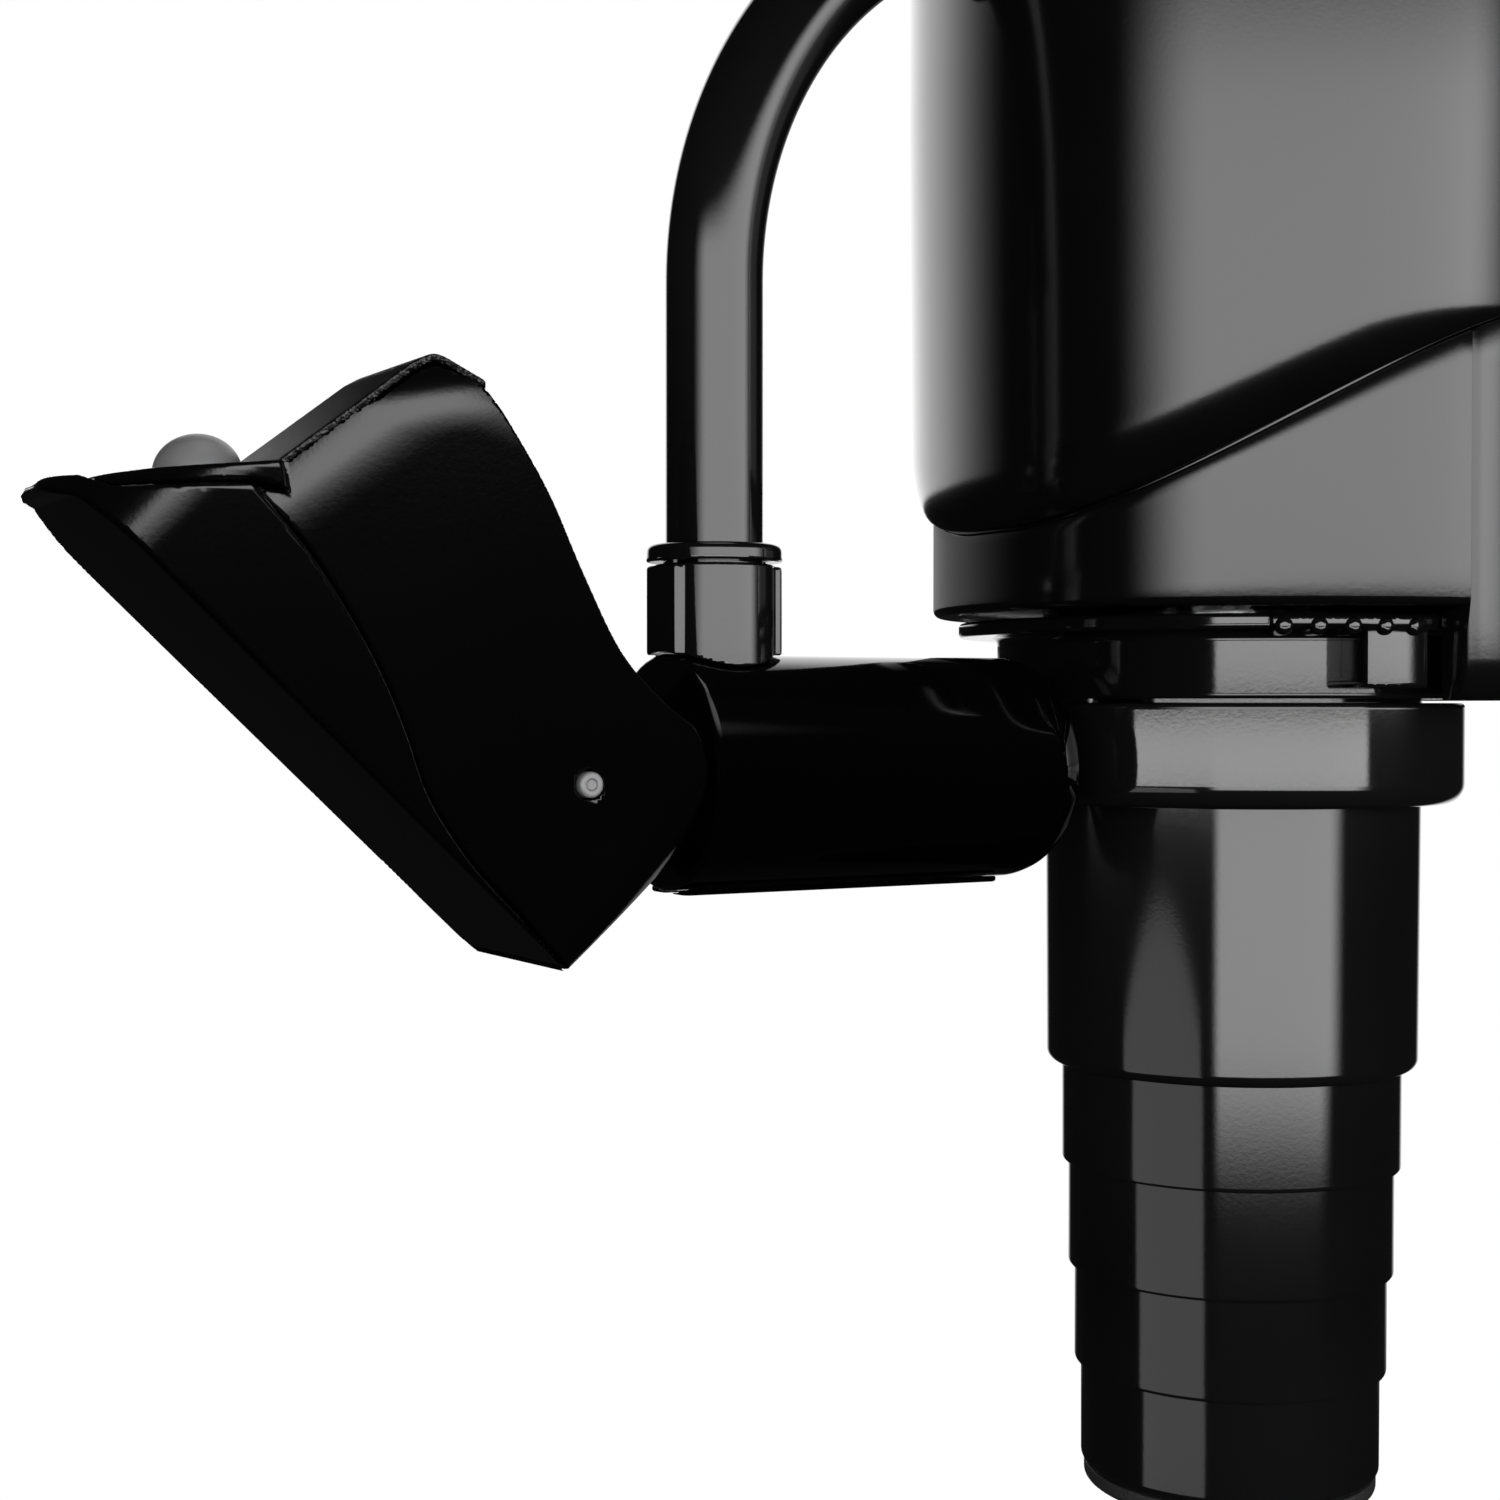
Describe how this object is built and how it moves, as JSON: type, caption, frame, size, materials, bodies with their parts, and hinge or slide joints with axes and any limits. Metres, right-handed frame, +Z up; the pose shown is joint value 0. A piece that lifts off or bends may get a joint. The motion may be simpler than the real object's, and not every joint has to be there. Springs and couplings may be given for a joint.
{
  "type": "sous vide circulator",
  "caption": "Pot-clamped immersion circulator with a telescoping skirt, carry handle, lock ring and a hinged clamp lever.",
  "frame": {"origin": "middle of the rim seat, the flat underside of the pad that rests on a pot's rim", "axes": "+Z up along the column, -X along the arm from the column to the clamp lever, Y across"},
  "size_m": [0.2464, 0.0984, 0.2809],
  "materials": {
    "upper_housing": "semi-gloss black moulding",
    "lower_housing": "semi-gloss black moulding",
    "top_panel": "semi-gloss black moulding",
    "display_lens": "clear dark window",
    "control_board": "green circuit board",
    "dial_encoder": "matt black moulding",
    "key_power_switch": "brushed stainless steel",
    "key_time_switch": "brushed stainless steel",
    "key_heat_switch": "brushed stainless steel",
    "chassis_plate": "brushed stainless steel",
    "motor_can": "brushed stainless steel",
    "power_board": "green circuit board",
    "transformer": "matt black moulding",
    "chassis_screw_1": "brushed stainless steel",
    "chassis_screw_2": "brushed stainless steel",
    "chassis_screw_3": "brushed stainless steel",
    "seal_plate": "brushed stainless steel",
    "core_tube": "brushed stainless steel",
    "heater_coil": "brushed stainless steel",
    "temperature_probe": "brushed stainless steel",
    "level_probe_high": "brushed stainless steel",
    "level_probe_low": "brushed stainless steel",
    "skirt_stage_1": "semi-gloss black moulding",
    "clamp_ring": "semi-gloss black moulding",
    "arm": "semi-gloss black moulding",
    "rim_pad": "black rubber",
    "hinge_knuckle": "semi-gloss black moulding",
    "hinge_pin": "darkened steel",
    "friction_washer_near": "brushed stainless steel",
    "friction_washer_far": "brushed stainless steel",
    "handle_tube": "semi-gloss black moulding",
    "handle_boss": "semi-gloss black moulding",
    "handle_socket": "semi-gloss black moulding",
    "handle_nut": "semi-gloss black moulding",
    "cord_gland": "black rubber",
    "lever_lower_shell": "semi-gloss black moulding",
    "lever_upper_shell": "semi-gloss black moulding",
    "lever_front_inlay": "matt black moulding",
    "release_spring_pad": "black rubber",
    "release_button": "mid-grey moulding",
    "lock_ring": "semi-gloss black moulding",
    "skirt_stage_2": "semi-gloss black moulding",
    "skirt_stage_3": "semi-gloss black moulding",
    "skirt_stage_4": "semi-gloss black moulding",
    "skirt_stage_5": "semi-gloss black moulding",
    "foot_strainer": "brushed stainless steel",
    "foot_bumper": "black rubber",
    "drive_shaft": "brushed stainless steel",
    "cooling_fan": "matt black moulding",
    "impeller": "grey moulding",
    "selector_dial": "matt black moulding",
    "key_power": "matt black moulding",
    "key_time": "matt black moulding",
    "key_heat": "matt black moulding"
  },
  "bodies": {
    "head": {"upper_housing": "upper_housing", "lower_housing": "lower_housing", "top_panel": "top_panel", "display_lens": "display_lens", "control_board": "control_board", "dial_encoder": "dial_encoder", "key_power_switch": "key_power_switch", "key_time_switch": "key_time_switch", "key_heat_switch": "key_heat_switch", "chassis_plate": "chassis_plate", "motor_can": "motor_can", "power_board": "power_board", "transformer": "transformer", "chassis_screw_1": "chassis_screw_1", "chassis_screw_2": "chassis_screw_2", "chassis_screw_3": "chassis_screw_3", "seal_plate": "seal_plate", "core_tube": "core_tube", "heater_coil": "heater_coil", "temperature_probe": "temperature_probe", "level_probe_high": "level_probe_high", "level_probe_low": "level_probe_low", "skirt_stage_1": "skirt_stage_1", "clamp_ring": "clamp_ring", "arm": "arm", "rim_pad": "rim_pad", "hinge_knuckle": "hinge_knuckle", "hinge_pin": "hinge_pin", "friction_washer_near": "friction_washer_near", "friction_washer_far": "friction_washer_far", "handle_tube": "handle_tube", "handle_boss": "handle_boss", "handle_socket": "handle_socket", "handle_nut": "handle_nut", "cord_gland": "cord_gland"},
    "lever": {"lever_lower_shell": "lever_lower_shell", "lever_upper_shell": "lever_upper_shell", "lever_front_inlay": "lever_front_inlay", "release_spring_pad": "release_spring_pad"},
    "release_button": {"release_button": "release_button"},
    "lock_ring": {"lock_ring": "lock_ring"},
    "stage_2": {"skirt_stage_2": "skirt_stage_2"},
    "stage_3": {"skirt_stage_3": "skirt_stage_3"},
    "stage_4": {"skirt_stage_4": "skirt_stage_4"},
    "stage_5": {"skirt_stage_5": "skirt_stage_5", "foot_strainer": "foot_strainer", "foot_bumper": "foot_bumper"},
    "rotor": {"drive_shaft": "drive_shaft", "cooling_fan": "cooling_fan", "impeller": "impeller"},
    "dial": {"selector_dial": "selector_dial"},
    "key_power": {"key_power": "key_power"},
    "key_time": {"key_time": "key_time"},
    "key_heat": {"key_heat": "key_heat"}
  },
  "joints": [
    {"name": "lever_hinge", "type": "hinge", "parent": "head", "child": "lever", "pos_m": [-0.0489, 0, 0.015], "axis": [0, -1, 0], "range_deg": [0, 45]},
    {"name": "release_press", "type": "slide", "parent": "lever", "child": "release_button", "axis": [0.1294, 0, -0.9916], "range_m": [0, 0.0018], "stiffness_N_per_m": 600, "springref_m": -0.0005},
    {"name": "lock_turn", "type": "hinge", "parent": "head", "child": "lock_ring", "pos_m": [0.066, 0, 0.031], "axis": [0, 0, -1], "range_deg": [0, 25]},
    {"name": "skirt_slide_2", "type": "slide", "parent": "head", "child": "stage_2", "axis": [0, 0, -1], "range_m": [0, 0.025]},
    {"name": "skirt_slide_3", "type": "slide", "parent": "stage_2", "child": "stage_3", "axis": [0, 0, -1], "range_m": [0, 0.025]},
    {"name": "skirt_slide_4", "type": "slide", "parent": "stage_3", "child": "stage_4", "axis": [0, 0, -1], "range_m": [0, 0.025]},
    {"name": "skirt_slide_5", "type": "slide", "parent": "stage_4", "child": "stage_5", "axis": [0, 0, -1], "range_m": [0, 0.025]},
    {"name": "rotor_spin", "type": "hinge", "parent": "head", "child": "rotor", "pos_m": [0.066, 0, 0.04], "axis": [0, 0, 1], "continuous": true},
    {"name": "dial_turn", "type": "hinge", "parent": "head", "child": "dial", "pos_m": [0.056, 0, 0.18], "axis": [0, 0, 1], "continuous": true},
    {"name": "key_power_press", "type": "slide", "parent": "head", "child": "key_power", "axis": [0, 0, -1], "range_m": [0, 0.001], "stiffness_N_per_m": 800, "springref_m": -0.0005},
    {"name": "key_time_press", "type": "slide", "parent": "head", "child": "key_time", "axis": [0, 0, -1], "range_m": [0, 0.001], "stiffness_N_per_m": 800, "springref_m": -0.0005},
    {"name": "key_heat_press", "type": "slide", "parent": "head", "child": "key_heat", "axis": [0, 0, -1], "range_m": [0, 0.001], "stiffness_N_per_m": 800, "springref_m": -0.0005}
  ]
}
